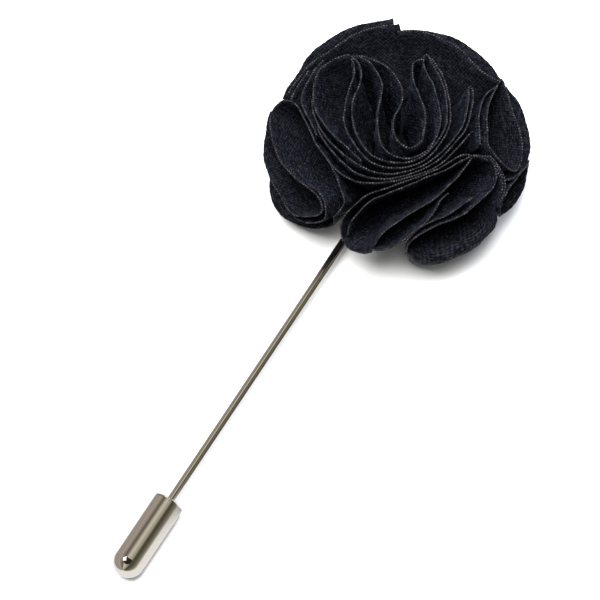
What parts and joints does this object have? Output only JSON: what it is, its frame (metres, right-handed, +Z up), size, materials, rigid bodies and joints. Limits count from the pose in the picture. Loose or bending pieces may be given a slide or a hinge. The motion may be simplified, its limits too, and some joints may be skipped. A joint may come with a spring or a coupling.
{
  "type": "flower lapel pin",
  "caption": "Lapel pin with a rosette of folded, ruffled dark cloth on a straight polished needle, with a bullet-shaped end cap that slides off the point.",
  "frame": {"origin": "on the needle's axis, where the needle leaves the pad under the flower; the surface that the pin lies on is one cap radius (2.5 mm) below it", "axes": "+Z up, out of the flower's face; +Y along the needle from its point towards the flower's middle; +X to the flower's right"},
  "size_m": [0.0424, 0.1027, 0.0195],
  "materials": {
    "nickel": "polished nickel plate",
    "cloth": "dark navy plain weave, matt"
  },
  "bodies": {
    "root": {"pin": "nickel", "backing": "cloth", "centre_fold": "cloth", "middle_ruffle": "cloth", "outer_ruffle": "cloth", "lower_ruffle": "cloth", "back_left_petal": "cloth", "back_right_petal": "cloth", "left_petal": "cloth", "left_lip": "cloth", "left_lower_petal": "cloth", "left_lower_lip": "cloth", "front_left_petal": "cloth", "front_left_lip": "cloth", "front_middle_fold": "cloth", "front_right_petal": "cloth", "front_right_lip": "cloth", "right_petal": "cloth", "right_lip": "cloth", "right_lower_petal": "cloth", "right_lower_lip": "cloth"},
    "cap": {"end_cap": "nickel"}
  },
  "joints": [
    {"name": "cap_slide", "type": "slide", "parent": "root", "child": "cap", "axis": [0, -1, 0], "range_m": [0, 0.02]}
  ]
}
